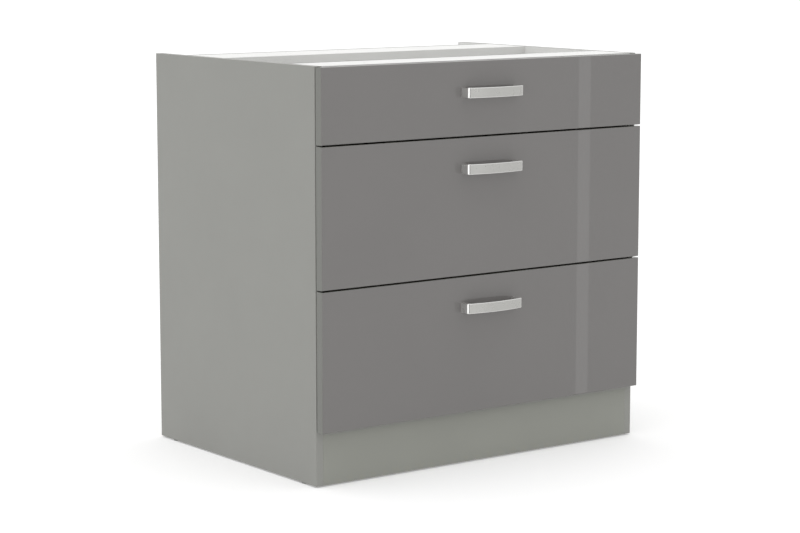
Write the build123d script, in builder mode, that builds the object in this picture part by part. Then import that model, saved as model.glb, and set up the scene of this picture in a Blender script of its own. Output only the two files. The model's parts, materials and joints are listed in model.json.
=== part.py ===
from build123d import *
from collections import namedtuple
from math import copysign, sqrt
import os

# A kitchen base cabinet with three drawers, in millimetres.
# +Z is up from the floor, the drawers open towards -Y, and X = 0 is the cabinet's middle plane.
# Y = 0 is the middle of the whole depth, from the handles to the rear edge of the sides.

# Carcass: coated chipboard, standing on glides
body_width = 800.0
body_height = 800.0
body_depth = 570.0          # side panels, front edge to rear edge
board = 16.0
service_void = 110.0        # the sides run this far past the interior: the back, then pipes
front_rail_depth = 100.0    # both top rails lie flat
rear_rail_depth = 125.0
plinth_height = 100.0
board_edge_radius = 0.6     # eased edges of the side panels
glide_height = 3.0
glide_radius = 7.0
glide_nail_radius = 1.2
glide_nail_length = 14.0
glide_inset = 50.0

# Dowels and cam fittings of the carcass
dowel_radius = 4.0
dowel_length = 30.0
dowel_in_side = 12.0
cam_radius = 7.5
cam_height = 12.5
cam_inset = 34.0            # cam centre from the end of its board
cam_slot_width = 1.6
cam_slot_depth = 2.0
bolt_radius = 3.0
bolt_thread_radius = 2.5
bolt_in_side = 11.0
bolt_bore_radius = 4.0
fitting_margin = 30.0       # first fitting from the edge of its board
fitting_step = 45.0         # dowel to cam on the bottom panel
plinth_dowel_margin = 25.0
back_dowel_margin = 60.0
back_dowel_count = 4
fit_play = 0.05             # radial play of whatever sits in a drilled hole

# Worktop screw holes through the top rails
worktop_hole_radius = 2.5
worktop_hole_spacing_x = 500.0
worktop_hole_inset = 50.0   # from the free edge of each rail

# Drawer fronts
front_thickness = 18.0
front_standoff = 2.0        # gap between a closed front and the carcass
front_gap = 3.0
front_side_reveal = 1.0
top_reveal = 1.0
front_above_plinth = 8.0
top_front_height = 145.0
front_edge_radius = 2.0
bumper_radius = 4.0
bumper_play = 0.2
bumper_margin = 20.0

# Bow handles
handle_spacing = 128.0
handle_leg = 9.5
handle_bar = 5.0
handle_height = 20.0
handle_reach = 22.0         # at the corners
handle_bow = 8.0            # further out at the middle
handle_drop = 60.0          # handle axis below the top of its front
handle_corner_radius = 5.5
handle_inner_radius = 3.0
handle_edge_radius = 1.2
handle_screw_radius = 2.0
handle_screw_head_radius = 4.0
handle_screw_head_height = 2.4
handle_screw_grip = 8.0

# Drawer boxes
box_board = 16.0
box_rise = 22.0             # box bottom above the bottom of its front
box_drop = 32.0             # box top below the top of its front
box_sheet = 6.0             # drawer bottom
box_groove = 6.0
groove_play = 0.2
box_sheet_lift = 12.0
box_edge_radius = 1.0

# Ball-bearing runners, full extension
runner_height = 45.0
runner_thickness = 12.7
runner_side_play = 0.3      # drawer member to box side
runner_lift = 16.0          # underside of the runner above the underside of the box
runner_setback = 2.0        # behind the front edge of the carcass
runner_back_gap = 8.0
runner_steel = 1.2
runner_bend_radius = 1.1
cage_steel = 0.5
slide_play = 0.35
ball_radius = 1.9
ball_pitch = 35.0
cabinet_flange_tip = 9.5    # how far each member's flanges reach from the side panel
outer_cage_tip = 8.0
middle_flange_tip = 11.0
inner_cage_tip = 10.0
outer_ball_depth = 5.5
inner_ball_depth = 7.5
runner_screw_margin = 33.0
runner_screw_radius = 1.75
runner_screw_head_radius = 2.95
runner_screw_length = 14.0
pan_head_height = 1.6
web_slot_length = 9.0
web_slot_width = 4.6
web_slot_spacing = 64.0     # two slots halfway between neighbouring screws
cage_end_margin = 2.5       # cage end to member end when the drawer is fully open

# Countersunk screws of the boxes and fronts
screw_radius = 2.0
screw_head_radius = 4.0
screw_head_height = 2.6
screw_length = 30.0
corner_screw_low = 30.0
corner_screw_high = 14.0    # below the top of the box
front_screw_spacing = 500.0

# Carcass planes
half_width = body_width / 2
inner_half = half_width - board
inner_width = 2 * inner_half
total_depth = handle_reach + handle_bow + front_thickness + front_standoff + body_depth
front_plane = total_depth / 2 - body_depth
rear_plane = total_depth / 2
inner_back = rear_plane - service_void
inner_depth = inner_back - front_plane
panel_bottom = glide_height
rail_underside = body_height - board
rail_middle = body_height - board / 2
bottom_middle = plinth_height + board / 2
plinth_middle_y = front_plane + board / 2
back_middle_y = inner_back + board / 2

# Front planes
front_back_face = front_plane - front_standoff
front_face = front_back_face - front_thickness
front_width = body_width - 2 * front_side_reveal
lowest_front = plinth_height + front_above_plinth
highest_front = body_height - top_reveal
deep_front_height = (highest_front - lowest_front - top_front_height - 2 * front_gap) / 2

# Drawer box and runner planes
runner_front = front_plane + runner_setback
runner_rear = inner_back - runner_back_gap
runner_length = runner_rear - runner_front
runner_middle_y = (runner_front + runner_rear) / 2
drawer_travel = runner_length
box_half = inner_half - runner_thickness - runner_side_play
box_inner_half = box_half - box_board
box_inner_width = 2 * box_inner_half
box_front = front_back_face
box_rear = runner_rear
box_depth = box_rear - box_front
box_middle_y = (box_front + box_rear) / 2

# Runner sections, measured from the side panel's face and from the runner's centre height
race = 2 * (ball_radius + slide_play)
cabinet_half = runner_height / 2
middle_half = cabinet_half - runner_steel - race
drawer_half = middle_half - runner_steel - race
outer_ball_height = cabinet_half - runner_steel - race / 2
inner_ball_height = middle_half - runner_steel - race / 2
outer_cage_web = runner_steel + slide_play
middle_web = outer_cage_web + cage_steel + slide_play
inner_cage_web = middle_web + runner_steel + slide_play
drawer_flange_tip = inner_cage_web + cage_steel + slide_play

# A cage moves a quarter or three quarters of the travel and stays between its members
cage_travel_room = drawer_travel / 4 + cage_end_margin
cage_length = runner_length - 2 * cage_travel_room

Drawer = namedtuple("Drawer", "name bottom height")
drawers = [
    Drawer("bottom", lowest_front, deep_front_height),
    Drawer("middle", lowest_front + deep_front_height + front_gap, deep_front_height),
    Drawer("top", highest_front - top_front_height, top_front_height),
]


def box_bottom(drawer):
    return drawer.bottom + box_rise


def box_top(drawer):
    return drawer.bottom + drawer.height - box_drop


def runner_z(drawer):
    return box_bottom(drawer) + runner_lift + runner_height / 2


def handle_z(drawer):
    return drawer.bottom + drawer.height - handle_drop


# Fitting places as (y, z): each stands at both ends of its board
rear_rail_front = inner_back - rear_rail_depth
front_rail_dowel = (front_plane + fitting_margin, rail_middle)
front_rail_cam = (front_plane + front_rail_depth - fitting_margin, rail_middle)
rear_rail_dowel = (rear_rail_front + fitting_margin, rail_middle)
rear_rail_cam = (inner_back - fitting_margin, rail_middle)
bottom_dowels = [
    (front_plane + fitting_margin, bottom_middle),
    (inner_back - fitting_margin, bottom_middle),
]
bottom_cams = [
    (front_plane + fitting_margin + fitting_step, bottom_middle),
    (inner_back - fitting_margin - fitting_step, bottom_middle),
]
plinth_dowels = [
    (plinth_middle_y, panel_bottom + plinth_dowel_margin),
    (plinth_middle_y, plinth_height - plinth_dowel_margin),
]
back_dowel_step = (body_height - plinth_height - 2 * back_dowel_margin) / (back_dowel_count - 1)
back_dowels = [
    (back_middle_y, plinth_height + back_dowel_margin + back_dowel_step * i)
    for i in range(back_dowel_count)
]
all_dowels = [front_rail_dowel, rear_rail_dowel] + bottom_dowels + plinth_dowels + back_dowels
all_cams = [front_rail_cam, rear_rail_cam] + bottom_cams

# Ways that a hole or a screw runs from its mouth or head
RIGHTWARD = Vector(1, 0, 0)
LEFTWARD = Vector(-1, 0, 0)
FORWARD = Vector(0, -1, 0)
FROM_TOP = (Align.CENTER, Align.CENTER, Align.MAX)
FROM_BELOW = (Align.CENTER, Align.CENTER, Align.MIN)

os.makedirs("parts", exist_ok=True)


def mouth(x, y, z, way):
    """The plane of a hole's mouth or a screw's head, with local -Z running the given way."""
    return Plane(origin=(x, y, z), z_dir=-way)


def drill(x, y, z, way, radius, depth):
    """Cut a blind hole from its mouth at (x, y, z)."""
    with Locations(mouth(x, y, z, way)):
        Cylinder(radius, depth, align=FROM_TOP, mode=Mode.SUBTRACT)


def drill_board_ends(dowel_places, cam_places):
    """Cut the dowel holes, bolt bores and cam pockets in both ends of a flat board."""
    for side, way in ((1, LEFTWARD), (-1, RIGHTWARD)):
        for y, z in dowel_places:
            depth = dowel_length - dowel_in_side + fit_play
            drill(side * inner_half, y, z, way, dowel_radius + fit_play, depth)
        for y, z in cam_places:
            drill(side * inner_half, y, z, way, bolt_bore_radius, cam_inset)
            with Locations((side * (inner_half - cam_inset), y, z - board / 2)):
                Cylinder(cam_radius + fit_play, cam_height, align=FROM_BELOW, mode=Mode.SUBTRACT)


def channel_section(web, tip, half_height, sheet, centre_z):
    """Draw a C section on the right side panel: web and flange tips are depths from its face."""
    width = abs(tip - web)
    centre_x = inner_half - (web + tip) / 2
    with Locations((centre_x, centre_z)):
        Rectangle(width, 2 * half_height)
    web_side = 1 if tip > web else -1
    web_corners = [v for v in vertices() if web_side * (v.X - centre_x) > 0]
    fillet(web_corners, min(runner_bend_radius, 2 * sheet))
    with Locations((centre_x - copysign(sheet, web_side), centre_z)):
        Rectangle(width, 2 * (half_height - sheet), mode=Mode.SUBTRACT)


def screw_places_along_runner(margin, count):
    """Y positions of the screws along a runner member."""
    step = (runner_length - 2 * margin) / (count - 1)
    return [runner_front + margin + step * i for i in range(count)]


def cut_web_slots(web, screw_ys, centre_z):
    """Cut pairs of long holes through a web between its screws."""
    with BuildSketch(Plane.YZ.offset(inner_half - web)) as slots:
        for first, second in zip(screw_ys, screw_ys[1:]):
            with Locations(((first + second) / 2, centre_z)):
                with GridLocations(web_slot_spacing, 0, 2, 1):
                    SlotOverall(web_slot_length, web_slot_width)
    extrude(slots.sketch, amount=runner_steel + slide_play, both=True, mode=Mode.SUBTRACT)


cabinet_screw_ys = screw_places_along_runner(runner_screw_margin, 3)
drawer_screw_ys = screw_places_along_runner(2 * runner_screw_margin, 2)


def countersunk_screw(radius, head_radius, head_height, length, mode=Mode.ADD):
    """Head face at the local origin, shank down local -Z."""
    Cone(radius, head_radius, head_height, align=FROM_TOP, mode=mode)
    with Locations((0, 0, -head_height)):
        Cylinder(radius, length - head_height, align=FROM_TOP, mode=mode)


# ---------------------------------------------------------------- carcass

with BuildPart() as right_side_panel:
    with BuildSketch(Plane.XY.offset(panel_bottom)):
        with Locations((half_width - board / 2, (front_plane + rear_plane) / 2)):
            Rectangle(board, body_depth)
    extrude(amount=body_height - panel_bottom)
    fillet(right_side_panel.edges().filter_by(Axis.Z), board_edge_radius)
    for y, z in all_dowels:
        drill(inner_half, y, z, RIGHTWARD, dowel_radius + fit_play, dowel_in_side + fit_play)
    for y, z in all_cams:
        drill(inner_half, y, z, RIGHTWARD, bolt_thread_radius + fit_play, bolt_in_side + fit_play)
    for drawer in drawers:
        for y in cabinet_screw_ys:
            depth = runner_screw_length - runner_steel + fit_play
            drill(inner_half, y, runner_z(drawer), RIGHTWARD, runner_screw_radius + fit_play, depth)
    for y in (front_plane + glide_inset, rear_plane - glide_inset):
        with Locations((half_width - board / 2, y, panel_bottom)):
            Cylinder(
                glide_nail_radius + fit_play,
                glide_nail_length + fit_play,
                align=FROM_BELOW,
                mode=Mode.SUBTRACT,
            )
right_side_panel.part.label = "right_side_panel"
export_step(right_side_panel.part, "parts/right_side_panel.step")

with BuildPart() as left_side_panel:
    add(right_side_panel.part.mirror(Plane.YZ))
left_side_panel.part.label = "left_side_panel"
export_step(left_side_panel.part, "parts/left_side_panel.step")

with BuildPart() as bottom_panel:
    with BuildSketch(Plane.XY.offset(plinth_height)):
        with Locations((0, (front_plane + inner_back) / 2)):
            Rectangle(inner_width, inner_depth)
    extrude(amount=board)
    drill_board_ends(bottom_dowels, bottom_cams)
bottom_panel.part.label = "bottom_panel"
export_step(bottom_panel.part, "parts/bottom_panel.step")

with BuildPart() as front_top_rail:
    with BuildSketch(Plane.XY.offset(rail_underside)):
        with Locations((0, front_plane + front_rail_depth / 2)):
            Rectangle(inner_width, front_rail_depth)
        with Locations((0, front_plane + front_rail_depth - worktop_hole_inset)):
            with GridLocations(worktop_hole_spacing_x, 0, 2, 1):
                Circle(worktop_hole_radius, mode=Mode.SUBTRACT)
    extrude(amount=board)
    drill_board_ends([front_rail_dowel], [front_rail_cam])
front_top_rail.part.label = "front_top_rail"
export_step(front_top_rail.part, "parts/front_top_rail.step")

with BuildPart() as rear_top_rail:
    with BuildSketch(Plane.XY.offset(rail_underside)):
        with Locations((0, rear_rail_front + rear_rail_depth / 2)):
            Rectangle(inner_width, rear_rail_depth)
        with Locations((0, rear_rail_front + worktop_hole_inset)):
            with GridLocations(worktop_hole_spacing_x, 0, 2, 1):
                Circle(worktop_hole_radius, mode=Mode.SUBTRACT)
    extrude(amount=board)
    drill_board_ends([rear_rail_dowel], [rear_rail_cam])
rear_top_rail.part.label = "rear_top_rail"
export_step(rear_top_rail.part, "parts/rear_top_rail.step")

with BuildPart() as back_panel:
    with BuildSketch(Plane.XY.offset(plinth_height)):
        with Locations((0, back_middle_y)):
            Rectangle(inner_width, board)
    extrude(amount=body_height - plinth_height)
    drill_board_ends(back_dowels, [])
back_panel.part.label = "back_panel"
export_step(back_panel.part, "parts/back_panel.step")

with BuildPart() as plinth_board:
    with BuildSketch(Plane.XY.offset(panel_bottom)):
        with Locations((0, plinth_middle_y)):
            Rectangle(inner_width, board)
    extrude(amount=plinth_height - panel_bottom)
    drill_board_ends(plinth_dowels, [])
plinth_board.part.label = "plinth_board"
export_step(plinth_board.part, "parts/plinth_board.step")

with BuildPart() as carcass_dowels:
    for y, z in all_dowels:
        with Locations(mouth(inner_half + dowel_in_side, y, z, LEFTWARD)):
            Cylinder(dowel_radius, dowel_length, align=FROM_TOP)
    mirror(about=Plane.YZ)
carcass_dowels.part.label = "carcass_dowels"
export_step(carcass_dowels.part, "parts/carcass_dowels.step")

with BuildPart() as cam_bolts:
    for y, z in all_cams:
        with Locations(mouth(inner_half + bolt_in_side, y, z, LEFTWARD)):
            Cylinder(bolt_thread_radius, bolt_in_side, align=FROM_TOP)
        with Locations(mouth(inner_half, y, z, LEFTWARD)):
            Cylinder(bolt_radius, cam_inset - fit_play, align=FROM_TOP)
    mirror(about=Plane.YZ)
cam_bolts.part.label = "cam_bolts"
export_step(cam_bolts.part, "parts/cam_bolts.step")

with BuildPart() as cam_discs:
    for y, z in all_cams:
        underside = z - board / 2
        cam_x = inner_half - cam_inset
        with Locations((cam_x, y, underside)):
            Cylinder(cam_radius, cam_height, align=FROM_BELOW)
            Box(cam_radius, cam_slot_width, 2 * cam_slot_depth, mode=Mode.SUBTRACT)
            Box(cam_slot_width, cam_radius, 2 * cam_slot_depth, mode=Mode.SUBTRACT)
        # the bolt's head enters the disc from the end of the board
        drill(inner_half, y, z, LEFTWARD, bolt_radius + fit_play, cam_inset)
    mirror(about=Plane.YZ)
cam_discs.part.label = "cam_discs"
export_step(cam_discs.part, "parts/cam_discs.step")

with BuildPart() as floor_glides:
    for y in (front_plane + glide_inset, rear_plane - glide_inset):
        with Locations((half_width - board / 2, y, 0)):
            Cylinder(glide_radius, glide_height, align=FROM_BELOW)
        with Locations((half_width - board / 2, y, glide_height)):
            Cylinder(glide_nail_radius, glide_nail_length, align=FROM_BELOW)
    mirror(about=Plane.YZ)
floor_glides.part.label = "floor_glides"
export_step(floor_glides.part, "parts/floor_glides.step")

with BuildPart() as cabinet_runner_screws:
    for drawer in drawers:
        for y in cabinet_screw_ys:
            head_x = inner_half - runner_steel
            with Locations(mouth(head_x, y, runner_z(drawer), RIGHTWARD)):
                countersunk_screw(
                    runner_screw_radius,
                    runner_screw_head_radius,
                    runner_steel,
                    runner_screw_length,
                )
    mirror(about=Plane.YZ)
cabinet_runner_screws.part.label = "cabinet_runner_screws"
export_step(cabinet_runner_screws.part, "parts/cabinet_runner_screws.step")

# ---------------------------------------------------------------- runners

for drawer in drawers:
    slide_z = runner_z(drawer)

    with BuildPart() as cabinet_runner:
        with BuildSketch(Plane.XZ.offset(-runner_rear)):
            channel_section(0, cabinet_flange_tip, cabinet_half, runner_steel, slide_z)
        extrude(amount=runner_length)
        for y in cabinet_screw_ys:
            with Locations(mouth(inner_half - runner_steel, y, slide_z, RIGHTWARD)):
                countersunk_screw(
                    runner_screw_radius + fit_play,
                    runner_screw_head_radius + fit_play,
                    runner_steel,
                    runner_screw_length,
                    mode=Mode.SUBTRACT,
                )
        cut_web_slots(0, cabinet_screw_ys, slide_z)
        mirror(about=Plane.YZ)
    cabinet_runner.part.label = f"cabinet_runner_{drawer.name}"
    export_step(cabinet_runner.part, f"parts/cabinet_runner_{drawer.name}.step")

    with BuildPart() as middle_runner:
        with BuildSketch(Plane.XZ.offset(-runner_rear)):
            channel_section(middle_web, middle_flange_tip, middle_half, runner_steel, slide_z)
        extrude(amount=runner_length)
        mirror(about=Plane.YZ)
    middle_runner.part.label = f"middle_runner_{drawer.name}"
    export_step(middle_runner.part, f"parts/middle_runner_{drawer.name}.step")

    with BuildPart() as drawer_runner:
        with BuildSketch(Plane.XZ.offset(-runner_rear)):
            channel_section(runner_thickness, drawer_flange_tip, drawer_half, runner_steel, slide_z)
        extrude(amount=runner_length)
        for y in drawer_screw_ys:
            drill(
                inner_half - drawer_flange_tip,
                y,
                slide_z,
                LEFTWARD,
                runner_screw_radius + fit_play,
                runner_thickness,
            )
        cut_web_slots(runner_thickness, drawer_screw_ys, slide_z)
        mirror(about=Plane.YZ)
    drawer_runner.part.label = f"drawer_runner_{drawer.name}"
    export_step(drawer_runner.part, f"parts/drawer_runner_{drawer.name}.step")

    cages = (
        ("outer", outer_cage_web, outer_cage_tip, outer_ball_height, outer_ball_depth),
        ("inner", inner_cage_web, inner_cage_tip, inner_ball_height, inner_ball_depth),
    )
    for cage_name, web, tip, ball_height, ball_depth in cages:
        with BuildPart() as ball_cage:
            with BuildSketch(Plane.XZ.offset(-(runner_rear - cage_travel_room))):
                channel_section(web, tip, ball_height + cage_steel / 2, cage_steel, slide_z)
            extrude(amount=cage_length)
            ball_count = int((cage_length - 4 * ball_radius) // ball_pitch) + 1
            for side in (1, -1):
                with Locations((inner_half - ball_depth, runner_middle_y, slide_z + side * ball_height)):
                    with GridLocations(0, ball_pitch, 1, ball_count):
                        Sphere(ball_radius)
            mirror(about=Plane.YZ)
        ball_cage.part.label = f"{cage_name}_ball_cage_{drawer.name}"
        export_step(ball_cage.part, f"parts/{cage_name}_ball_cage_{drawer.name}.step")

# ---------------------------------------------------------------- drawers

for drawer in drawers:
    low = box_bottom(drawer)
    high = box_top(drawer)
    slide_z = runner_z(drawer)
    corner_screw_zs = (low + corner_screw_low, high - corner_screw_high)
    sheet_z = low + box_sheet_lift

    with BuildPart() as right_box_side:
        with BuildSketch(Plane.XY.offset(low)):
            with Locations((box_half - box_board / 2, box_middle_y)):
                Rectangle(box_board, box_depth)
        extrude(amount=high - low)
        fillet(right_box_side.faces().sort_by(Axis.Z)[-1].edges(), box_edge_radius)
        with BuildSketch(Plane.XY.offset(sheet_z - groove_play)):
            with Locations((box_inner_half, box_middle_y)):
                Rectangle(2 * box_groove, box_depth - 2 * (box_board - box_groove))
        extrude(amount=box_sheet + 2 * groove_play, mode=Mode.SUBTRACT)
        for y in drawer_screw_ys:
            depth = runner_screw_length - runner_steel + fit_play
            drill(box_half, y, slide_z, LEFTWARD, runner_screw_radius + fit_play, depth)
        for y in (box_front + box_board / 2, box_rear - box_board / 2):
            for z in corner_screw_zs:
                with Locations(mouth(box_half, y, z, LEFTWARD)):
                    countersunk_screw(
                        screw_radius + fit_play,
                        screw_head_radius + fit_play,
                        screw_head_height,
                        screw_length,
                        mode=Mode.SUBTRACT,
                    )
    right_box_side.part.label = f"right_box_side_{drawer.name}"
    export_step(right_box_side.part, f"parts/right_box_side_{drawer.name}.step")

    with BuildPart() as left_box_side:
        add(right_box_side.part.mirror(Plane.YZ))
    left_box_side.part.label = f"left_box_side_{drawer.name}"
    export_step(left_box_side.part, f"parts/left_box_side_{drawer.name}.step")

    with BuildPart() as box_back:
        with BuildSketch(Plane.XY.offset(low)):
            with Locations((0, box_rear - box_board / 2)):
                Rectangle(box_inner_width, box_board)
        extrude(amount=high - low)
        with BuildSketch(Plane.XY.offset(sheet_z - groove_play)):
            with Locations((0, box_rear - box_board)):
                Rectangle(box_inner_width, 2 * box_groove)
        extrude(amount=box_sheet + 2 * groove_play, mode=Mode.SUBTRACT)
        for side, way in ((1, LEFTWARD), (-1, RIGHTWARD)):
            for z in corner_screw_zs:
                depth = screw_length - box_board + fit_play
                y = box_rear - box_board / 2
                drill(side * box_inner_half, y, z, way, screw_radius + fit_play, depth)
    box_back.part.label = f"box_back_{drawer.name}"
    export_step(box_back.part, f"parts/box_back_{drawer.name}.step")

    with BuildPart() as box_inner_front:
        with BuildSketch(Plane.XY.offset(low)):
            with Locations((0, box_front + box_board / 2)):
                Rectangle(box_inner_width, box_board)
        extrude(amount=high - low)
        with BuildSketch(Plane.XY.offset(sheet_z - groove_play)):
            with Locations((0, box_front + box_board)):
                Rectangle(box_inner_width, 2 * box_groove)
        extrude(amount=box_sheet + 2 * groove_play, mode=Mode.SUBTRACT)
        for side, way in ((1, LEFTWARD), (-1, RIGHTWARD)):
            for z in corner_screw_zs:
                depth = screw_length - box_board + fit_play
                y = box_front + box_board / 2
                drill(side * box_inner_half, y, z, way, screw_radius + fit_play, depth)
            for z in corner_screw_zs:
                place_x = side * front_screw_spacing / 2
                with Locations(mouth(place_x, box_front + box_board, z, FORWARD)):
                    countersunk_screw(
                        screw_radius + fit_play,
                        screw_head_radius + fit_play,
                        screw_head_height,
                        screw_length,
                        mode=Mode.SUBTRACT,
                    )
            drill(
                side * handle_spacing / 2,
                box_front + box_board,
                handle_z(drawer),
                FORWARD,
                handle_screw_radius + fit_play,
                box_board,
            )
    box_inner_front.part.label = f"box_inner_front_{drawer.name}"
    export_step(box_inner_front.part, f"parts/box_inner_front_{drawer.name}.step")

    with BuildPart() as box_floor:
        with BuildSketch(Plane.XY.offset(sheet_z)):
            with Locations((0, box_middle_y)):
                Rectangle(
                    box_inner_width + 2 * (box_groove - groove_play),
                    box_depth - 2 * box_board + 2 * (box_groove - groove_play),
                )
        extrude(amount=box_sheet)
    box_floor.part.label = f"box_floor_{drawer.name}"
    export_step(box_floor.part, f"parts/box_floor_{drawer.name}.step")

    with BuildPart() as drawer_front:
        with BuildSketch(Plane.XZ.offset(-front_back_face)):
            with Locations((0, drawer.bottom + drawer.height / 2)):
                Rectangle(front_width, drawer.height)
        extrude(amount=front_thickness)
        fillet(drawer_front.faces().sort_by(Axis.Y)[0].edges(), front_edge_radius)
        for side in (1, -1):
            for z in corner_screw_zs:
                place_x = side * front_screw_spacing / 2
                depth = screw_length - box_board + fit_play
                drill(place_x, front_back_face, z, FORWARD, screw_radius + fit_play, depth)
            drill(
                side * handle_spacing / 2,
                front_back_face,
                handle_z(drawer),
                FORWARD,
                handle_screw_radius + fit_play,
                front_thickness,
            )
    drawer_front.part.label = f"drawer_front_{drawer.name}"
    export_step(drawer_front.part, f"parts/drawer_front_{drawer.name}.step")

    with BuildPart() as handle:
        outer_half = handle_spacing / 2 + handle_leg / 2
        leg_inner = handle_spacing / 2 - handle_leg / 2
        corner_y = front_face - handle_reach
        crown_y = corner_y - handle_bow
        bow_radius = (outer_half**2 + handle_bow**2) / (2 * handle_bow)
        inner_bow_radius = bow_radius - handle_bar
        inner_end_y = crown_y + bow_radius - sqrt(inner_bow_radius**2 - leg_inner**2)
        with BuildSketch(Plane.XY.offset(handle_z(drawer) - handle_height / 2)):
            with BuildLine():
                Line((-outer_half, front_face), (-outer_half, corner_y))
                ThreePointArc((-outer_half, corner_y), (0, crown_y), (outer_half, corner_y))
                Line((outer_half, corner_y), (outer_half, front_face))
                Line((outer_half, front_face), (leg_inner, front_face))
                Line((leg_inner, front_face), (leg_inner, inner_end_y))
                ThreePointArc(
                    (leg_inner, inner_end_y), (0, crown_y + handle_bar), (-leg_inner, inner_end_y)
                )
                Line((-leg_inner, inner_end_y), (-leg_inner, front_face))
                Line((-leg_inner, front_face), (-outer_half, front_face))
            make_face()
        extrude(amount=handle_height)
        uprights = handle.edges().filter_by(Axis.Z)
        bends = uprights.filter_by(lambda e: e.center().Y < front_face - handle_bar)
        inner_bends = bends.sort_by(lambda e: abs(e.center().X))[:2]
        outer_bends = bends.sort_by(lambda e: abs(e.center().X))[-2:]
        fillet(inner_bends, handle_inner_radius)
        fillet(outer_bends, handle_corner_radius)
        rims = handle.edges().group_by(Axis.Z)[0] + handle.edges().group_by(Axis.Z)[-1]
        free_rims = [e for e in rims if e.center().Y < front_face - handle_bar / 2]
        fillet(free_rims, handle_edge_radius)
        for side in (1, -1):
            drill(
                side * handle_spacing / 2,
                front_face,
                handle_z(drawer),
                FORWARD,
                handle_screw_radius + fit_play,
                handle_screw_grip + fit_play,
            )
    handle.part.label = f"handle_{drawer.name}"
    export_step(handle.part, f"parts/handle_{drawer.name}.step")

    with BuildPart() as handle_screws:
        for side in (1, -1):
            head_y = box_front + box_board
            with Locations(mouth(side * handle_spacing / 2, head_y, handle_z(drawer), FORWARD)):
                Cylinder(handle_screw_head_radius, handle_screw_head_height, align=FROM_BELOW)
                Cylinder(
                    handle_screw_radius,
                    box_board + front_thickness + handle_screw_grip,
                    align=FROM_TOP,
                )
    handle_screws.part.label = f"handle_screws_{drawer.name}"
    export_step(handle_screws.part, f"parts/handle_screws_{drawer.name}.step")

    with BuildPart() as box_screws:
        for z in corner_screw_zs:
            for y in (box_front + box_board / 2, box_rear - box_board / 2):
                with Locations(mouth(box_half, y, z, LEFTWARD)):
                    countersunk_screw(
                        screw_radius, screw_head_radius, screw_head_height, screw_length
                    )
            with Locations(mouth(front_screw_spacing / 2, box_front + box_board, z, FORWARD)):
                countersunk_screw(screw_radius, screw_head_radius, screw_head_height, screw_length)
        mirror(about=Plane.YZ)
    box_screws.part.label = f"box_screws_{drawer.name}"
    export_step(box_screws.part, f"parts/box_screws_{drawer.name}.step")

    with BuildPart() as drawer_runner_screws:
        for y in drawer_screw_ys:
            head_x = inner_half - runner_thickness + runner_steel
            with Locations(mouth(head_x, y, slide_z, LEFTWARD)):
                Cylinder(runner_screw_head_radius, pan_head_height, align=FROM_BELOW)
                Cylinder(runner_screw_radius, runner_screw_length, align=FROM_TOP)
        mirror(about=Plane.YZ)
    drawer_runner_screws.part.label = f"drawer_runner_screws_{drawer.name}"
    export_step(drawer_runner_screws.part, f"parts/drawer_runner_screws_{drawer.name}.step")

    with BuildPart() as bumpers:
        for z in (drawer.bottom + bumper_margin, drawer.bottom + drawer.height - bumper_margin):
            with Locations(mouth(half_width - board / 2, front_back_face, z, FORWARD)):
                Cylinder(bumper_radius, front_standoff - bumper_play, align=FROM_BELOW)
        mirror(about=Plane.YZ)
    bumpers.part.label = f"bumpers_{drawer.name}"
    export_step(bumpers.part, f"parts/bumpers_{drawer.name}.step")
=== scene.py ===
import json
import math

import bmesh
import bpy
from mathutils import Matrix, Vector


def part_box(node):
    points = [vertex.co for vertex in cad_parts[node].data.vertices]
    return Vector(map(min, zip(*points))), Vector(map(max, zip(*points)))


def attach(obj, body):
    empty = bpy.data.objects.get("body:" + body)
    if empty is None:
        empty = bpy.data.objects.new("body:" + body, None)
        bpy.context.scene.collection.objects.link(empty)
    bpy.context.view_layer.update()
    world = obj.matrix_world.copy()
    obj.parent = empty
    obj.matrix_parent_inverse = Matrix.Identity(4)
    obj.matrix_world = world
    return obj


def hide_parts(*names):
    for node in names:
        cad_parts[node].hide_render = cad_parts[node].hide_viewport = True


# A kitchen base cabinet with three drawers, dressed for its studio picture.
# Lengths are in metres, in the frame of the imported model: +Z up, the drawers open towards -Y.

MM = 0.001

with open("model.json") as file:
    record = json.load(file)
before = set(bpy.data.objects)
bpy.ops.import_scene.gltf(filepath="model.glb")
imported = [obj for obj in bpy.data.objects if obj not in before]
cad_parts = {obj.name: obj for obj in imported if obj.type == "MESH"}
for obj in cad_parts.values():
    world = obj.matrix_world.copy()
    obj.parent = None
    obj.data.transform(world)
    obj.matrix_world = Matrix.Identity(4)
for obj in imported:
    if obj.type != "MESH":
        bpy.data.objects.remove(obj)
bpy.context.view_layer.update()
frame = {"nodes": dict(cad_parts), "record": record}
nodes = frame["nodes"]
TIERS = ("bottom", "middle", "top")
stand_ins = {}              # pieces of this script by the name of the node they replace


def srgb(red, green, blue):
    """A colour written as screen values from 0 to 255, as the linear values that shaders take."""
    linear = [
        c / 255 / 12.92 if c <= 10 else ((c / 255 + 0.055) / 1.055) ** 2.4 for c in (red, green, blue)
    ]
    return (*linear, 1.0)


# Boards, from the coats to the core
GREY = srgb(152.2, 152.4, 147.8)
PLINTH_GREY = srgb(152.3, 153.4, 146)
WHITE = srgb(240, 240, 238)
# a darker copy of WHITE on the rails' front edges: painted shade
SHADED_EDGE_WHITE = srgb(223, 223, 221)
GLUE = srgb(120, 116, 108)
CORE_LIGHT = srgb(208, 183, 146)
CORE_DARK = srgb(148, 118, 84)
FIBRE_LIGHT = srgb(146, 112, 80)
FIBRE_DARK = srgb(96, 68, 46)
RAW = None                  # a face that shows the board's core

# Drawer fronts
FRONT_GREY = srgb(123.1, 121, 119.5)
FRONT_EDGE_GREY = srgb(121, 122, 117)

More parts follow.
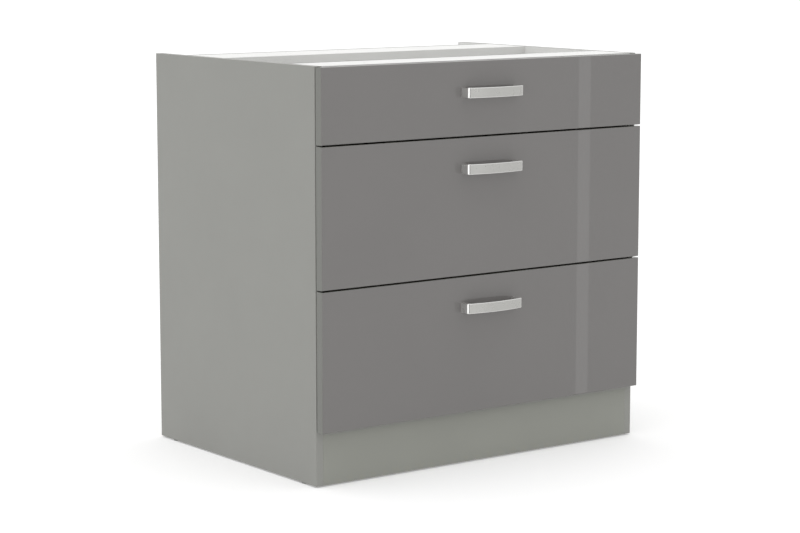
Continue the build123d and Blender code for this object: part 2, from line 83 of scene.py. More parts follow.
# Metal: the shares of red, green and blue that it reflects
NICKEL = (0.477, 0.474, 0.454, 1.0)
# lighter nickel for the sides of the handle's legs: painted light
NICKEL_PAINTED_LIGHT = (0.66, 0.655, 0.64, 1.0)
# lighter nickel for the rims and corners: painted highlight
NICKEL_PAINTED_HIGHLIGHT = (0.84, 0.835, 0.82, 1.0)
ZINC = (0.62, 0.63, 0.645, 1.0)
ZINC_RUBBED = (0.54, 0.545, 0.55, 1.0)
SCREW_YELLOW = srgb(206, 204, 190)
SCREW_BLUE = srgb(196, 203, 210)

# Small parts
BEECH_LIGHT = srgb(222, 190, 148)
BEECH_DARK = srgb(190, 152, 108)
BEECH_FLECK = srgb(150, 106, 66)
GLIDE_GREY = srgb(140, 140, 138)
PAD_WHITE = srgb(226, 226, 220)

# ---------------------------------------------------------------- node trees

NOISE_LOW, NOISE_HIGH = 0.3, 0.7    # nearly all of a noise lies between these
MIX_SOCKETS = {"RGBA": (6, 7, 2), "VECTOR": (4, 5, 1)}     # both inputs, then the output


class Look:
    """One material, with short calls for the shader nodes used here."""

    def __init__(self, name):
        self.material = bpy.data.materials.new(name)
        self.material.use_nodes = True
        self.tree = self.material.node_tree
        self.shader = self.tree.nodes["Principled BSDF"]
        coords = self.tree.nodes.new("ShaderNodeTexCoord")
        self.place = coords.outputs["Object"]
        self.normal = coords.outputs["Normal"]

    def put(self, socket, value):
        """Link another node's output to a socket, or write a plain value on it."""
        if isinstance(value, bpy.types.NodeSocket):
            self.tree.links.new(value, socket)
        else:
            socket.default_value = value

    def set(self, **values):
        """Set the shader's own sockets: set(roughness=0.4, base_color=...)."""
        for name, value in values.items():
            title = " ".join(w.upper() if w == "ior" else w.capitalize() for w in name.split("_"))
            self.put(self.shader.inputs[title], value)

    def math(self, operation, first, second=0.0):
        """The result of one operation on one or two values."""
        node = self.tree.nodes.new("ShaderNodeMath")
        node.operation = operation
        for socket, value in zip(node.inputs, (first, second)):
            self.put(socket, value)
        return node.outputs[0]

    def split(self, vector):
        """The X, Y and Z outputs of a vector."""
        node = self.tree.nodes.new("ShaderNodeSeparateXYZ")
        self.put(node.inputs[0], vector)
        return node.outputs

    def step(self, value, low, high, at_low=0.0, at_high=1.0):
        """Smooth change from at_low to at_high while the value goes from low to high."""
        node = self.tree.nodes.new("ShaderNodeMapRange")
        node.interpolation_type = "SMOOTHSTEP"
        for socket, number in zip(node.inputs, (value, low, high, at_low, at_high)):
            self.put(socket, number)
        return node.outputs[0]

    def vary(self, lumps, at_low=0.0, at_high=1.0):
        """Change from at_low to at_high with the lumps of a noise."""
        return self.step(lumps, NOISE_LOW, NOISE_HIGH, at_low, at_high)

    def mix(self, factor, first, second, kind="RGBA"):
        """Blend of two colours, or of two normals where the kind is VECTOR."""
        first_input, second_input, output = MIX_SOCKETS[kind]
        node = self.tree.nodes.new("ShaderNodeMix")
        node.data_type = kind
        self.put(node.inputs[0], factor)
        self.put(node.inputs[first_input], first)
        self.put(node.inputs[second_input], second)
        return node.outputs[output]

    def stretched(self, stretch):
        """The place on the surface, with each axis multiplied."""
        node = self.tree.nodes.new("ShaderNodeVectorMath")
        node.operation = "MULTIPLY"
        self.put(node.inputs[0], self.place)
        node.inputs[1].default_value = stretch
        return node.outputs[0]

    def noise(self, grain, detail=3.0, stretch=(1, 1, 1), roughness=0.5):
        """Noise from 0 to 1 whose largest lumps are about one grain across, in metres."""
        node = self.tree.nodes.new("ShaderNodeTexNoise")
        self.put(node.inputs["Vector"], self.stretched(stretch))
        node.inputs["Scale"].default_value = 1 / grain
        node.inputs["Detail"].default_value = detail
        node.inputs["Roughness"].default_value = roughness
        return node.outputs[0]

    def cells(self, grain, stretch=(1, 1, 1)):
        """Random value from 0 to 1 in each cell of about one grain across, in metres."""
        node = self.tree.nodes.new("ShaderNodeTexVoronoi")
        self.put(node.inputs["Vector"], self.stretched(stretch))
        node.inputs["Scale"].default_value = 1 / grain
        return self.split(node.outputs["Color"])[0]

    def bump(self, height, depth, below=None):
        """A normal from a height of 0 to 1, over another bump if one is given."""
        node = self.tree.nodes.new("ShaderNodeBump")
        node.inputs["Strength"].default_value = 1.0
        node.inputs["Distance"].default_value = depth
        self.put(node.inputs["Height"], height)
        if below is not None:
            self.put(node.inputs["Normal"], below)
        return node.outputs[0]

    def tinted(self, color, lumps, amount):
        """The colour, darker by an amount where the lumps are low and lighter where they are high."""
        darker = tuple(c * (1 - amount) for c in color[:3]) + (1.0,)
        lighter = tuple(min(1.0, c * (1 + amount)) for c in color[:3]) + (1.0,)
        return self.mix(self.vary(lumps), darker, lighter)

    def dress(self, node):
        """Give this material to a node of the frame, or to the piece that stands for it."""
        target = stand_ins.get(node, nodes[node])
        if not target.material_slots:
            target.data.materials.append(self.material)
        for material_slot in target.material_slots:
            material_slot.material = self.material


# ---------------------------------------------------------------- boards

SKIN = 0.35 * MM            # coat on each face of a board
BAND = 0.8 * MM             # thickness of an edge band
SEAM = 0.12 * MM            # half width of the line where a band meets a face
SEAM_SHADE = 0.35           # how strongly the glue shows in that line
FACE_LIMIT = 0.7            # a face points along an axis when its normal passes this
CLOUD_TINT = 0.012          # how much lighter and darker the clouds in a coat are
BOARD_CLOUD = 160 * MM
PEARL = 0.45 * MM           # grain of the melamine
PEARL_RELIEF = 0.012 * MM
GLOSS_PATCH = 40 * MM
COAT_ROUGHNESS = (0.40, 0.47)
CORE_ROUGHER = 0.4          # by how much the core is rougher than the coat
FLAKE = 1.8 * MM            # chips in the core, longer along X and Y than along Z
FLAKE_STRETCH = (0.6, 0.6, 1.6)
DUST = 0.7 * MM
CORE_RELIEF = 0.12 * MM


def towards(look, face):
    """How squarely the surface faces +x, -x, +y, -y, +z or -z: 1 on the flat, 0 at its side."""
    along = look.split(look.normal)["xyz".index(face[1])]
    return along if face[0] == "+" else look.math("MULTIPLY", along, -1.0)


def on_face(look, face):
    """1 where the surface faces +x, -x, +y, -y, +z or -z, and 0 elsewhere."""
    return look.math("GREATER_THAN", towards(look, face), FACE_LIMIT)


def face_depths(look, node):
    """Distance of the surface point from the nearer side of its node's box, along X, Y and Z."""
    low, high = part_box(node)
    depths = []
    for axis, coordinate in enumerate(look.split(look.place)):
        from_low = look.math("SUBTRACT", coordinate, low[axis])
        from_high = look.math("SUBTRACT", high[axis], coordinate)
        depths.append(look.math("MINIMUM", from_low, from_high))
    return depths


def chipboard(look):
    """Colour and height of a raw chipboard edge."""
    flakes = look.cells(FLAKE, stretch=FLAKE_STRETCH)
    dust = look.noise(DUST, detail=4.0)
    chips = look.mix(look.step(flakes, low=0.1, high=0.9), CORE_DARK, CORE_LIGHT)
    color = look.mix(look.step(dust, low=0.35, high=0.7), chips, CORE_LIGHT)
    return color, look.math("ADD", flakes, dust)


def coats(look, node, faces, thin_axis, core):
    """Colour with the coats laid over the core, and 1 where there is a coat."""
    low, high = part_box(node)
    places = look.split(look.place)
    clouds = look.noise(BOARD_CLOUD, detail=2.0)
    color = core
    coated = 0.0
    to_seam = 1.0
    for face, coat in faces.items():
        if coat is RAW:
            continue
        axis = "xyz".index(face[1])
        facing = on_face(look, face)
        color = look.mix(facing, color, look.tinted(coat, clouds, CLOUD_TINT))
        coated = look.math("MAXIMUM", coated, facing)
        if axis != thin_axis:
            seam = high[axis] - BAND if face[0] == "+" else low[axis] + BAND
            off_seam = look.math("ABSOLUTE", look.math("SUBTRACT", places[axis], seam))
            to_seam = look.math("MINIMUM", to_seam, off_seam)
    # the thin dark line where each edge band is glued on
    seam_line = look.step(to_seam, SEAM / 2, SEAM, at_low=SEAM_SHADE, at_high=0.0)
    return look.mix(seam_line, color, GLUE), coated


def board(node, faces, thin_axis):
    """A coated chipboard: faces maps +x, -x, +y, -y, +z, -z to a coat's colour or to RAW."""
    look = Look(node + "_coat")
    low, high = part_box(node)
    depths = face_depths(look, node)
    core, core_height = chipboard(look)
    color, coated = coats(look, node, faces, thin_axis, core)
    # a raw edge shows the skins of the board's two broad faces
    through = "xyz"[thin_axis]
    upper_coat = faces["+" + through] or WHITE
    lower_coat = faces["-" + through] or WHITE
    centre = (low[thin_axis] + high[thin_axis]) / 2
    is_upper = look.math("GREATER_THAN", look.split(look.place)[thin_axis], centre)
    uncoated = look.math("SUBTRACT", 1.0, coated)
    skin = look.math("MULTIPLY", look.math("LESS_THAN", depths[thin_axis], SKIN), uncoated)
    color = look.mix(skin, color, look.mix(is_upper, lower_coat, upper_coat))
    # drilled holes and grooves show the core
    depth = look.math("MINIMUM", look.math("MINIMUM", depths[0], depths[1]), depths[2])
    inside = look.math("GREATER_THAN", depth, SKIN)
    color = look.mix(inside, color, core)
    bare = look.math("MAXIMUM", inside, look.math("SUBTRACT", uncoated, skin))
    pearl = look.bump(look.noise(PEARL, detail=2.0), PEARL_RELIEF)
    gloss = look.vary(look.noise(GLOSS_PATCH), *COAT_ROUGHNESS)
    look.set(
        base_color=color,
        roughness=look.math("ADD", gloss, look.math("MULTIPLY", bare, CORE_ROUGHER)),
        normal=look.bump(look.math("MULTIPLY", core_height, bare), CORE_RELIEF, below=pearl),
        specular_ior_level=0.4,
    )
    look.dress(node)


def side_panel(node, outside):
    """A side: grey outside and on its front, top and lower edges, white inside."""
    inside = "-x" if outside == "+x" else "+x"
    faces = {outside: GREY, inside: WHITE, "-y": GREY, "+y": RAW, "+z": GREY, "-z": GREY}
    board(node, faces, thin_axis=0)


def fibreboard(node, white_face):
    """Thin hardboard, lacquered white on one face and brown fibre elsewhere."""
    look = Look(node + "_fibre")
    lacquered = on_face(look, white_face)
    fibres = look.noise(2.5 * MM, detail=5.0, roughness=0.7)
    clouds = look.noise(120 * MM)
    brown = look.mix(look.vary(fibres), FIBRE_DARK, FIBRE_LIGHT)
    brown = look.mix(look.step(clouds, low=0.2, high=0.9), brown, FIBRE_LIGHT)
    rough_side = look.bump(fibres, 0.08 * MM)
    # the white lacquer keeps a faint orange peel
    smooth_side = look.bump(look.noise(1.2 * MM, detail=2.0), 0.01 * MM)
    look.set(
        base_color=look.mix(lacquered, brown, WHITE),
        roughness=look.step(lacquered, 0.0, 1.0, at_low=0.82, at_high=0.42),
        normal=look.mix(lacquered, rough_side, smooth_side, kind="VECTOR"),
    )
    look.dress(node)


# ---------------------------------------------------------------- drawer fronts

FOIL_CLOUD = 220 * MM
FOIL_HAZE = 60 * MM
FOIL_ROUGHNESS = (0.006, 0.016)
FOIL_PEEL = 14 * MM         # width of the faint waves in the gloss
FOIL_RELIEF = 0.002 * MM
BACK_ROUGHER = 0.4          # by how much the satin back is rougher than the foil


def gloss_front(node):
    """High-gloss grey foil over the face and the edges, satin grey on the back."""
    look = Look(node + "_gloss")
    behind = on_face(look, "+y")
    face = look.step(towards(look, "-y"), low=0.3, high=0.9)
    clouds = look.noise(FOIL_CLOUD, detail=2.0)
    foil = look.mix(face, FRONT_EDGE_GREY, look.tinted(FRONT_GREY, clouds, CLOUD_TINT))
    gloss = look.step(look.noise(FOIL_HAZE), 0.35, 0.7, *FOIL_ROUGHNESS)
    look.set(
        base_color=look.mix(behind, foil, GREY),
        roughness=look.math("ADD", gloss, look.math("MULTIPLY", behind, BACK_ROUGHER)),
        normal=look.bump(look.noise(FOIL_PEEL, detail=1.0), FOIL_RELIEF),
        specular_ior_level=0.5,
    )
    look.dress(node)


# ---------------------------------------------------------------- metal and small parts

RIM_POLISH_AND_HIGHLIGHT = (0.5 * MM, 1.4 * MM)     # the polish and the painted highlight on the rims fade out between these depths


def satin_nickel(node):
    """Satin plated handle, brushed along its bar, with painted light on the sides of its legs,
    and smoother rims and corners painted lighter as a highlight."""
    look = Look(node + "_nickel")
    strokes = look.noise(0.6 * MM, stretch=(0.03, 1, 1))
    clouds = look.noise(18 * MM)
    sideways, outward = [look.math("ABSOLUTE", n) for n in look.split(look.normal)[:2]]
    # rims and corners are smoother and take a lighter nickel: a painted highlight
    rim = look.step(face_depths(look, node)[2], *RIM_POLISH_AND_HIGHLIGHT, at_low=1.0, at_high=0.0)
    corner = look.step(look.math("MINIMUM", sideways, outward), low=0.30, high=0.42)
    polish_and_highlight = look.math("MAXIMUM", rim, corner)
    # the sides of the legs take a lighter nickel: painted light
    leg = look.step(sideways, low=0.85, high=0.95)
    satin_and_lit_legs = look.mix(leg, look.tinted(NICKEL, strokes, 0.008), NICKEL_PAINTED_LIGHT)
    brushed = look.math("ADD", look.vary(strokes, 0.26, 0.28), look.vary(clouds, 0.0, 0.04))
    smoother = look.step(polish_and_highlight, 0.0, 1.0, at_low=1.0, at_high=0.5)
    look.set(
        base_color=look.mix(polish_and_highlight, satin_and_lit_legs, NICKEL_PAINTED_HIGHLIGHT),
        metallic=look.step(polish_and_highlight, 0.0, 1.0, at_low=0.62, at_high=0.95),
        roughness=look.math("MULTIPLY", brushed, smoother),
        normal=look.bump(strokes, 0.001 * MM),
    )
    look.dress(node)


def rolled_steel(node):
    """Bright zinc plated strip, with faint rolling lines along Y and small rub marks."""
    look = Look(node + "_zinc")
    rolling = look.noise(1.6 * MM, detail=2.0, stretch=(1, 0.008, 1))
    clouds = look.noise(30 * MM, stretch=(1, 0.3, 1))
    scuffs = look.noise(9 * MM, detail=4.0, stretch=(1, 0.12, 1))
    rubbed = look.step(scuffs, low=0.66, high=0.72)
    look.set(
        base_color=look.mix(rubbed, look.tinted(ZINC, clouds, 0.03), ZINC_RUBBED),
        metallic=1.0,
        roughness=look.math("ADD", look.vary(rolling, 0.27, 0.31), look.vary(clouds, 0.0, 0.05)),
        normal=look.bump(rolling, 0.002 * MM),
    )
    look.dress(node)


def plated_screws(node):
    """Zinc plated fasteners with a slight yellow and blue cast."""
    look = Look(node + "_plate")
    tint = look.noise(4 * MM, detail=2.0)
    look.set(
        base_color=look.mix(look.step(tint, low=0.35, high=0.65), SCREW_YELLOW, SCREW_BLUE),
        metallic=1.0,
        roughness=look.vary(look.noise(1.5 * MM), 0.26, 0.40),
        normal=look.bump(look.noise(0.5 * MM, detail=2.0), 0.01 * MM),
    )
    look.dress(node)


def beech(node):
    """Plain beech, its grain along the dowels."""
    look = Look(node + "_beech")
    grain = look.noise(1.2 * MM, detail=4.0, stretch=(0.08, 1, 1))
    flecks = look.noise(0.5 * MM, detail=2.0, stretch=(0.2, 1, 1))
    color = look.mix(look.vary(grain), BEECH_DARK, BEECH_LIGHT)
    look.set(
        base_color=look.mix(look.step(flecks, low=0.62, high=0.72), color, BEECH_FLECK),
        roughness=look.vary(grain, 0.55, 0.7),
        normal=look.bump(grain, 0.05 * MM),
    )
    look.dress(node)


def moulded_plastic(node, color, roughness, transmission=0.0):
    """Small moulded parts with a fine spark-eroded grain."""
    look = Look(node + "_plastic")
    grain = look.noise(0.4 * MM)
    look.set(
        base_color=look.tinted(color, grain, 0.08),
        roughness=look.vary(grain, roughness - 0.06, roughness + 0.06),
        normal=look.bump(grain, 0.03 * MM),
        transmission_weight=transmission,
    )
    look.dress(node)


# ---------------------------------------------------------------- fasteners

SIDES = 32                  # of a turned piece
SHARP = math.radians(32)    # an edge that turns by more than this stays sharp
RIM = 0.25 * MM             # rounding of a countersunk head's rim
PAN_DOME = 0.75             # height of a pan head's dome, as a share of the head's
POINT_LENGTH = 1.6          # length of a screw's point, as a share of the shank's radius
TIP = 4                     # the tip is this many times thinner than the shank
PAD_DOME = 0.8              # height of a pad's dome, as a share of the pad's
CROSS_ARM = 0.56            # recess: half length of an arm, as a share of the head's radius
CROSS_WIDTH = 0.13          # half width of an arm, as a share of the head's radius
CROSS_DEPTH = 0.42          # depth, as a share of the head's radius
CROSS_TAPER = 0.55          # size at the recess's floor, as a share of its mouth

WELD = 0.001 * MM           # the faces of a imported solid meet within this
SLIVER = 0.003 * MM         # corners of a cut nearer than this are one corner
ON_LEVEL = 0.05 * MM        # points this near in height lie on one level
NEAR_AXIS = 0.1 * MM        # points nearer the axis than this are the middle of an end
PLAY = 0.01 * MM            # radii that differ by less are alike
DEPTH_DIGITS = 6            # rings are told apart to 0.001 mm along the axis
RADIUS_DIGITS = 5           # and to 0.01 mm in radius


def solids_of(node):
    """The corner points of each separate solid of a node, in the order of its mesh."""
    mesh = bmesh.new()
    mesh.from_mesh(nodes[node].data)
    bmesh.ops.remove_doubles(mesh, verts=mesh.verts, dist=WELD)
    seen = set()
    solids = []
    for start in mesh.verts:
        if start in seen:
            continue
        seen.add(start)
        reached = [start]
        for vert in reached:
            near = [edge.other_vert(vert) for edge in vert.link_edges]
            reached.extend(other for other in near if other not in seen)
            seen.update(near)
        solids.append([vert.co.copy() for vert in reached])
    mesh.free()
    return solids


class Turned:
    """A turned solid's axis and its steps, read from its points."""

    def __init__(self, points, long_way):
        low = Vector(map(min, zip(*points)))
        high = Vector(map(max, zip(*points)))
        spans = list(high - low)
        self.axis = spans.index(max(spans) if long_way else min(spans))
        self.centre = (low + high) / 2
        low_end, high_end = [self.radius_at(points, end[self.axis]) for end in (low, high)]
        self.way = 1.0 if high_end > low_end - PLAY else -1.0
        self.head = (high if self.way > 0 else low)[self.axis]
        self.length = spans[self.axis]
        # depth below the head's top and radius of each ring of corners, from the head down
        self.rings = sorted({
            (round(self.way * (self.head - point[self.axis]), DEPTH_DIGITS),
             round(self.off_axis(point), RADIUS_DIGITS))
            for point in points if self.off_axis(point) > NEAR_AXIS
        })

    def off_axis(self, point):
        """Distance of a point from the axis."""
        away = point - self.centre
        away[self.axis] = 0.0
        return away.length

    def radius_at(self, points, height):
        """The largest radius on one level."""
        level = [point for point in points if abs(point[self.axis] - height) < ON_LEVEL]
        return max(self.off_axis(point) for point in level)

    def matrix(self):
        """From local space, where the head faces +Z at the origin, to the frame."""
        facing = Vector((0.0, 0.0, 0.0))
        facing[self.axis] = self.way
        place = self.centre.copy()
        place[self.axis] = self.head
        return Matrix.Translation(place) @ facing.to_track_quat("Z", "Y").to_matrix().to_4x4()


def lathe(mesh, outline, matrix):
    """Turn an outline of (radius, height) points, first and last on the axis, about local Z."""
    rows = []
    for radius, height in outline:
        count = 1 if radius == 0 else SIDES
        turns = [2 * math.pi * i / SIDES for i in range(count)]
        ring = [(radius * math.cos(t), radius * math.sin(t), height) for t in turns]
        rows.append([mesh.verts.new(matrix @ Vector(point)) for point in ring])
    for upper, lower in zip(rows, rows[1:]):
        for i in range(SIDES):
            j = (i + 1) % SIDES
            corners = [upper[i % len(upper)], lower[i % len(lower)],
                       lower[j % len(lower)], upper[j % len(upper)]]
            mesh.faces.new(list(dict.fromkeys(corners)))


def dome(radius, height, first, steps):
    """Outline of a dome, from first degrees off its axis down to its rim."""
    angles = [math.radians(first + (90 - first) * i / (steps - 1)) for i in range(steps)]
    return [(radius * math.sin(a), height * (math.cos(a) - 1)) for a in angles]


def cross(mesh, head_radius, matrix):
    """A tapered cross that cuts the recess into a screw's head."""
    arm, half = CROSS_ARM * head_radius, CROSS_WIDTH * head_radius
    quarter = [(arm, -half), (arm, half), (half, half)]
    outline = [
        (x * c - y * s, x * s + y * c)
        for c, s in ((1, 0), (0, 1), (-1, 0), (0, -1)) for x, y in quarter
    ]
    depth = CROSS_DEPTH * head_radius
    # above the head its walls go on widening, by as much as they narrow below
    rows = [
        [mesh.verts.new(matrix @ Vector((x * size, y * size, height))) for x, y in outline]
        for size, height in ((1 + (1 - CROSS_TAPER), depth), (CROSS_TAPER, -depth))
    ]
    for i in range(len(outline)):
        j = (i + 1) % len(outline)
        mesh.faces.new([rows[0][i], rows[1][i], rows[1][j], rows[0][j]])
    mesh.faces.new(rows[0])
    mesh.faces.new(reversed(rows[1]))


def as_object(name, mesh):
    """Link a finished mesh to the scene as an object."""
    data = bpy.data.meshes.new(name)
    mesh.to_mesh(data)
    mesh.free()
    piece = bpy.data.objects.new(name, data)
    bpy.context.scene.collection.objects.link(piece)
    return piece


def without_slivers(data):
    """Join the corners that a cut leaves almost on top of each other."""
    mesh = bmesh.new()
    mesh.from_mesh(data)
    bmesh.ops.remove_doubles(mesh, verts=mesh.verts, dist=SLIVER)
    bmesh.ops.dissolve_degenerate(mesh, edges=mesh.edges, dist=SLIVER)
    mesh.to_mesh(data)
    mesh.free()


def stand_in(node, piece):
    """Let a piece take a node's place, on its body and in its finish."""
    piece.data.shade_smooth()
    piece.data.set_sharp_from_angle(angle=SHARP)
    record = frame["record"]
    body = next(b for b, held in record["behaviour"]["bodies"].items() if node in held)
    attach(piece, body)
    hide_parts(node)
    stand_ins[node] = piece


def screw_outline(turned, head_radius, head_height, radius, pan):
    """Head, shank and point: a domed pan head, or a flat one with a thin rounded rim."""
    if pan:
        top = dome(head_radius, head_height * PAN_DOME, first=8, steps=8)
        head = [(0.0, 0.0), *top, (head_radius, -head_height)]
    else:
        head = [(0.0, 0.0), (head_radius - RIM, 0.0), (head_radius - RIM / 4, -RIM / 4),
                (head_radius, -RIM)]
    shank = [(radius, -head_height), (radius, -turned.length + POINT_LENGTH * radius),
             (radius / TIP, -turned.length), (0.0, -turned.length)]
    return head + shank


def modelled_screws(node, pan):
    """Screws in place of a node's plain ones, each with its head, point and cross recess."""
    screws, cutters = bmesh.new(), bmesh.new()
    for points in solids_of(node):
        turned = Turned(points, long_way=True)
        matrix = turned.matrix()
        (_, head_radius), (head_height, _) = turned.rings[:2]
        radius = turned.rings[-1][1]
        lathe(screws, screw_outline(turned, head_radius, head_height, radius, pan), matrix)
        cross(cutters, head_radius, matrix)
    for mesh in (screws, cutters):
        bmesh.ops.recalc_face_normals(mesh, faces=mesh.faces)
    piece = as_object(node + "_modelled", screws)
    cutter = as_object(node + "_recesses", cutters)
    cut = piece.modifiers.new("recess", "BOOLEAN")
    cut.operation = "DIFFERENCE"
    cut.solver = "EXACT"
    cut.object = cutter
    bpy.context.view_layer.update()
    depsgraph = bpy.context.evaluated_depsgraph_get()
    whole = bpy.data.meshes.new_from_object(piece.evaluated_get(depsgraph))
    piece.modifiers.clear()
    without_slivers(whole)
    piece.data = whole
    bpy.data.objects.remove(cutter)
    stand_in(node, piece)


def modelled_bumpers(node):
    """Soft domed pads in place of a node's plain ones."""
    pads = bmesh.new()
    for points in solids_of(node):
        turned = Turned(points, long_way=False)
        radius, height = turned.rings[0][1], turned.length
        top = dome(radius, height * PAD_DOME, first=10, steps=9)
        lathe(pads, [(0.0, 0.0), *top, (radius, -height), (0.0, -height)], turned.matrix())
    bmesh.ops.recalc_face_normals(pads, faces=pads.faces)
    stand_in(node, as_object(node + "_modelled", pads))


modelled_screws("cabinet_runner_screws", pan=False)
for tier in TIERS:
    modelled_screws(f"handle_screws_{tier}", pan=True)
    modelled_screws(f"drawer_runner_screws_{tier}", pan=True)
    modelled_screws(f"box_screws_{tier}", pan=False)
    modelled_bumpers(f"bumpers_{tier}")

# ---------------------------------------------------------------- finishes

WHITE_BOARD = {"+x": RAW, "-x": RAW, "+y": WHITE, "-y": WHITE, "+z": WHITE, "-z": WHITE}

side_panel("left_side_panel", outside="-x")
side_panel("right_side_panel", outside="+x")
board("plinth_board", {**WHITE_BOARD, "-y": PLINTH_GREY, "+z": RAW, "-z": GREY}, thin_axis=1)
board("bottom_panel", {**WHITE_BOARD, "-y": GREY, "+y": RAW}, thin_axis=2)
# the rails' front edges take the darker white: painted shade
board("front_top_rail", {**WHITE_BOARD, "-y": SHADED_EDGE_WHITE}, thin_axis=2)
board("rear_top_rail", {**WHITE_BOARD, "-y": SHADED_EDGE_WHITE, "+y": RAW}, thin_axis=2)
board("back_panel", {**WHITE_BOARD, "+y": GREY, "+z": GREY, "-z": RAW}, thin_axis=1)
beech("carcass_dowels")
plated_screws("cam_bolts")
plated_screws("cam_discs")
plated_screws("cabinet_runner_screws")
moulded_plastic("floor_glides", GLIDE_GREY, roughness=0.5)

for tier in TIERS:
    gloss_front(f"drawer_front_{tier}")
    satin_nickel(f"handle_{tier}")
    for name in ("left_box_side", "right_box_side"):
        board(f"{name}_{tier}", {**WHITE_BOARD, "+x": WHITE, "-x": WHITE, "-z": RAW}, thin_axis=0)
    for name in ("box_inner_front", "box_back"):
        board(f"{name}_{tier}", {**WHITE_BOARD, "-z": RAW}, thin_axis=1)
    fibreboard(f"box_floor_{tier}", white_face="+z")
    for name in ("cabinet_runner", "middle_runner", "drawer_runner", "outer_ball_cage",
                 "inner_ball_cage"):
        rolled_steel(f"{name}_{tier}")
    for name in ("handle_screws", "drawer_runner_screws", "box_screws"):
        plated_screws(f"{name}_{tier}")
    moulded_plastic(f"bumpers_{tier}", PAD_WHITE, roughness=0.35, transmission=0.6)

# ---------------------------------------------------------------- studio

PURE_WHITE = (1.0, 1.0, 1.0, 1.0)
FLOOR_RADIUS = 30.0
FLOOR_SIDES = 96
FLOOR_WHITE = 0.86
FLOOR_GLOW = 0.25
SKY_LIGHT = 0.76
FLAG_FADE = 0.34            # a flag is even up to here, as a share of its size from its middle


def shown_directly(tree):
    """1 for rays that show the background: seen by the camera, mirrored, or through glass."""
    path = tree.nodes.new("ShaderNodeLightPath")
    total = path.outputs["Is Camera Ray"]
    for name in ("Is Glossy Ray", "Is Transmission Ray"):
        node = tree.nodes.new("ShaderNodeMath")
        node.operation = "MAXIMUM"
        tree.links.new(total, node.inputs[0])
        tree.links.new(path.outputs[name], node.inputs[1])
        total = node.outputs[0]
    return total


def make_world():
    """Soft even light, with a plain white backdrop where the world itself is seen."""
    world = bpy.data.worlds.new("studio")
    bpy.context.scene.world = world
    world.use_nodes = True
    tree = world.node_tree
    soft = tree.nodes["Background"]
    soft.inputs["Color"].default_value = PURE_WHITE
    soft.inputs["Strength"].default_value = SKY_LIGHT
    backdrop = tree.nodes.new("ShaderNodeBackground")
    backdrop.inputs["Color"].default_value = PURE_WHITE
    backdrop.inputs["Strength"].default_value = 1.0
    mix = tree.nodes.new("ShaderNodeMixShader")
    tree.links.new(shown_directly(tree), mix.inputs[0])
    tree.links.new(soft.outputs[0], mix.inputs[1])
    tree.links.new(backdrop.outputs[0], mix.inputs[2])
    tree.links.new(mix.outputs[0], tree.nodes["World Output"].inputs["Surface"])


def make_floor():
    """A wide white floor at Z = 0. Seen directly it glows a little, which lights nothing."""
    bpy.ops.mesh.primitive_circle_add(vertices=FLOOR_SIDES, radius=FLOOR_RADIUS, fill_type="NGON")
    floor = bpy.context.object
    floor.name = "floor"
    look = Look("floor_white")
    look.set(base_color=(FLOOR_WHITE, FLOOR_WHITE, FLOOR_WHITE, 1.0), roughness=0.9,
             specular_ior_level=0.0)
    glow = look.tree.nodes.new("ShaderNodeEmission")
    glow.inputs["Color"].default_value = PURE_WHITE
    look.put(glow.inputs["Strength"], look.math("MULTIPLY", shown_directly(look.tree), FLOOR_GLOW))
    both = look.tree.nodes.new("ShaderNodeAddShader")
    look.put(both.inputs[0], look.shader.outputs[0])
    look.put(both.inputs[1], glow.outputs[0])
    look.put(look.tree.nodes["Material Output"].inputs["Surface"], both.outputs[0])
    floor.data.materials.append(look.material)
    floor.visible_glossy = False


def sun(name, direction, strength, softness):
    """Even soft light from one direction. At strength 1 a facing surface shows its own colour."""
    lamp = bpy.data.lights.new(name, "SUN")
    lamp.energy = strength * math.pi
    lamp.angle = math.radians(softness)
    holder = bpy.data.objects.new(name, lamp)
    bpy.context.scene.collection.objects.link(holder)
    holder.rotation_mode = "QUATERNION"
    holder.rotation_quaternion = Vector(direction).to_track_quat("Z", "Y")


def area_light(name, place, target, width, height, radiance):
    """A rectangular lamp of an even radiance that faces a target."""
    lamp = bpy.data.lights.new(name, "AREA")
    lamp.shape = "RECTANGLE"
    lamp.size = width
    lamp.size_y = height
    lamp.energy = radiance * math.pi * width * height
    holder = bpy.data.objects.new(name, lamp)
    bpy.context.scene.collection.objects.link(holder)
    holder.location = place
    holder.rotation_mode = "QUATERNION"
    holder.rotation_quaternion = (Vector(target) - Vector(place)).to_track_quat("-Z", "Y")


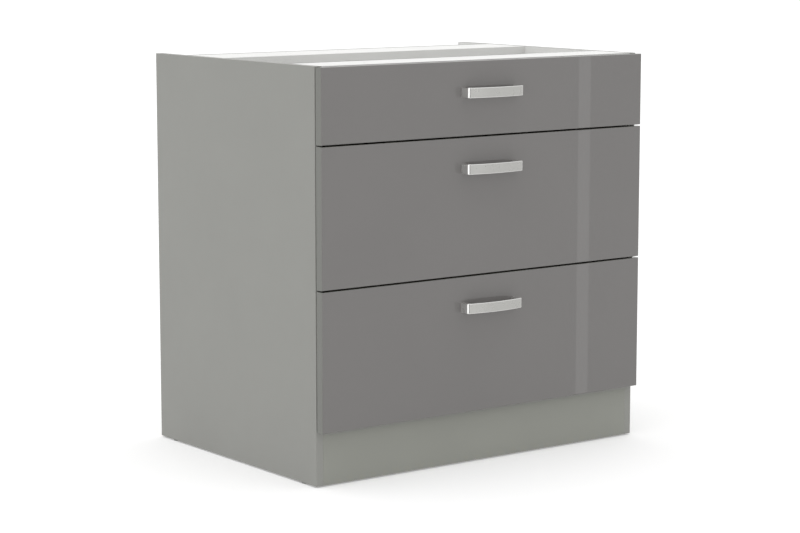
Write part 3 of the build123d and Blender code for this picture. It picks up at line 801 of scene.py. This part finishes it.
def flag(name, place, target, width, height, radiance):
    """A dark studio flag that only mirrors see. It fades into the white backdrop at its edges."""
    bpy.ops.mesh.primitive_plane_add(size=1.0)
    card = bpy.context.object
    card.name = name
    card.scale = (width, height, 1.0)
    card.location = place
    card.rotation_mode = "QUATERNION"
    card.rotation_quaternion = (Vector(target) - Vector(place)).to_track_quat("Z", "Y")
    look = Look(name + "_cloth")
    x, y, _ = look.split(look.place)
    fades = [
        look.step(look.math("ABSOLUTE", c), FLAG_FADE, 0.5, at_low=radiance, at_high=1.0)
        for c in (x, y)
    ]
    glow = look.tree.nodes.new("ShaderNodeEmission")
    look.put(glow.inputs["Strength"], look.math("MAXIMUM", *fades))
    look.put(look.tree.nodes["Material Output"].inputs["Surface"], glow.outputs[0])
    card.data.materials.append(look.material)
    card.visible_camera = False
    card.visible_diffuse = False
    card.visible_shadow = False
    card.visible_transmission = False


SENSOR_WIDTH = 36.0         # millimetres, as the lens is
CAMERA_PLACE = (-2.858, -3.825, 1.0565)
CAMERA_YAW = 36.682         # degrees to the right of straight at the fronts
CAMERA_PITCH = 8.289        # degrees down
CAMERA_LENS = 105.05


def make_camera():
    """The photograph's view."""
    data = bpy.data.cameras.new("camera")
    data.sensor_width = SENSOR_WIDTH
    data.lens = CAMERA_LENS
    camera = bpy.data.objects.new("camera", data)
    bpy.context.scene.collection.objects.link(camera)
    camera.location = CAMERA_PLACE
    camera.rotation_euler = (math.radians(90 - CAMERA_PITCH), 0.0, math.radians(-CAMERA_YAW))
    bpy.context.scene.camera = camera


make_world()
make_floor()
sun("key", direction=(-0.06, 0.0, 1.0), strength=0.28, softness=60.0)
area_light("left_box", place=(-4.2, -1.95, 0.7), target=(0.0, -0.2, 0.5),
           width=1.2, height=2.6, radiance=1.25)
area_light("low_fill", place=(1.35, -4.8, -0.2), target=(0.0, -0.3, -0.2),
           width=1.3, height=4.6, radiance=0.24)
# its mirror image is the narrow bright band at the right of the fronts
area_light("strip", place=(3.757, -4.29, -0.3), target=(0.246, -0.28, -0.3),
           width=0.051, height=4.6, radiance=0.57)
flag("front_flag", place=(-1.1, -5.2, 0.6), target=(0.0, -0.3, 0.6),
     width=1.9, height=5.0, radiance=0.12)
make_camera()

bpy.context.scene.view_settings.view_transform = "Standard"
